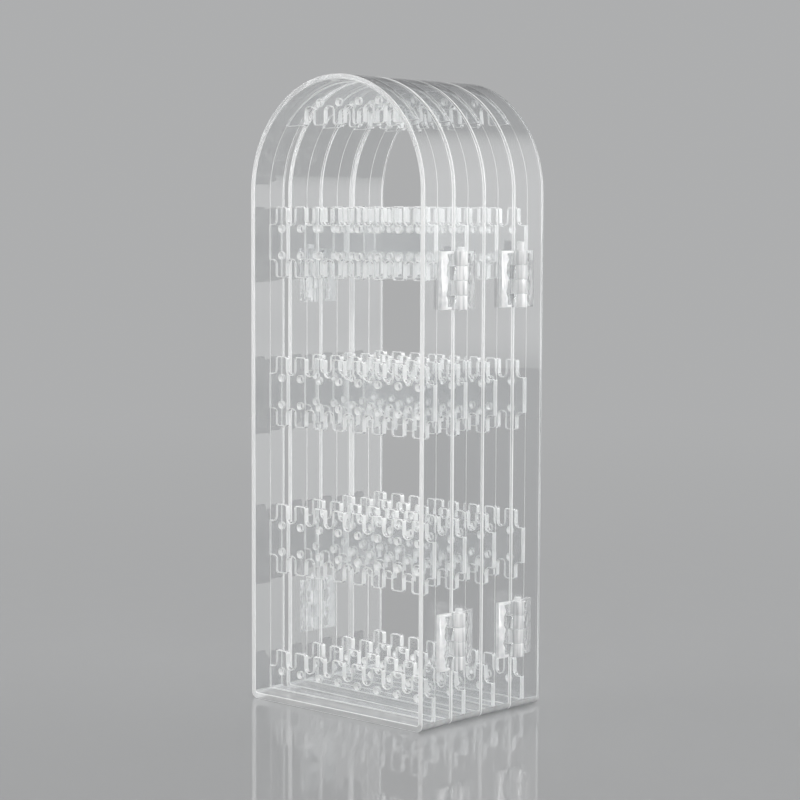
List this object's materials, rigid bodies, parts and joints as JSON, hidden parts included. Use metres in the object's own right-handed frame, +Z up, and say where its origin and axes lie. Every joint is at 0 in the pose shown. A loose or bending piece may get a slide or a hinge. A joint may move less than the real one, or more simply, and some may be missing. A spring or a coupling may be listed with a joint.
{
  "type": "jewelry organizer",
  "caption": "Free-standing foldable jewelry organizer of clear plastic: arched panels hinged like a folding screen, each with toothed, pierced bars to hang earrings and chains on.",
  "frame": {"origin": "on the ground under the middle of the object's box at rest", "axes": "+X to the right wall, -Y to the front, +Z up"},
  "size_m": [0.124, 0.0898, 0.3],
  "materials": {
    "frame_plastic": "clear, polished",
    "bar_plastic": "clear, polished",
    "hinge_plastic": "clear, slightly milky",
    "pin_plastic": "clear, slightly milky"
  },
  "bodies": {
    "panel_1": {"panel_1_frame": "frame_plastic", "panel_1_bar_1": "bar_plastic", "panel_1_bar_2": "bar_plastic", "panel_1_bar_3": "bar_plastic", "panel_1_bar_4": "bar_plastic", "panel_1_bar_5": "bar_plastic", "hinge_1_2_lower_leaf_1": "hinge_plastic", "hinge_1_2_upper_leaf_1": "hinge_plastic"},
    "panel_2": {"panel_2_frame": "frame_plastic", "panel_2_bar_1": "bar_plastic", "panel_2_bar_2": "bar_plastic", "panel_2_bar_3": "bar_plastic", "panel_2_bar_4": "bar_plastic", "panel_2_bar_5": "bar_plastic", "hinge_1_2_lower_leaf_2": "hinge_plastic", "hinge_1_2_lower_pin": "pin_plastic", "hinge_1_2_upper_leaf_2": "hinge_plastic", "hinge_1_2_upper_pin": "pin_plastic", "hinge_2_3_lower_leaf_2": "hinge_plastic", "hinge_2_3_lower_pin": "pin_plastic", "hinge_2_3_upper_leaf_2": "hinge_plastic", "hinge_2_3_upper_pin": "pin_plastic"},
    "panel_3": {"panel_3_frame": "frame_plastic", "panel_3_bar_1": "bar_plastic", "panel_3_bar_2": "bar_plastic", "panel_3_bar_3": "bar_plastic", "panel_3_bar_4": "bar_plastic", "panel_3_bar_5": "bar_plastic", "hinge_2_3_lower_leaf_3": "hinge_plastic", "hinge_2_3_upper_leaf_3": "hinge_plastic", "hinge_3_4_lower_leaf_3": "hinge_plastic", "hinge_3_4_lower_pin": "pin_plastic", "hinge_3_4_upper_leaf_3": "hinge_plastic", "hinge_3_4_upper_pin": "pin_plastic"},
    "panel_4": {"panel_4_frame": "frame_plastic", "panel_4_bar_1": "bar_plastic", "panel_4_bar_2": "bar_plastic", "panel_4_bar_3": "bar_plastic", "panel_4_bar_4": "bar_plastic", "panel_4_bar_5": "bar_plastic", "hinge_3_4_lower_leaf_4": "hinge_plastic", "hinge_3_4_upper_leaf_4": "hinge_plastic"}
  },
  "joints": [
    {"name": "panel_1_fold", "type": "hinge", "parent": "panel_2", "child": "panel_1", "pos_m": [0.05875, -0.01972, 0], "axis": [0, 0, 1], "range_deg": [-2.2, 177.8]},
    {"name": "panel_3_fold", "type": "hinge", "parent": "panel_2", "child": "panel_3", "pos_m": [-0.05875, 0.00128, 0], "axis": [0, 0, 1], "range_deg": [0, 180]},
    {"name": "panel_4_fold", "type": "hinge", "parent": "panel_3", "child": "panel_4", "pos_m": [0.05875, 0.02228, 0], "axis": [0, 0, -1], "range_deg": [-0.9, 179.1]}
  ]
}
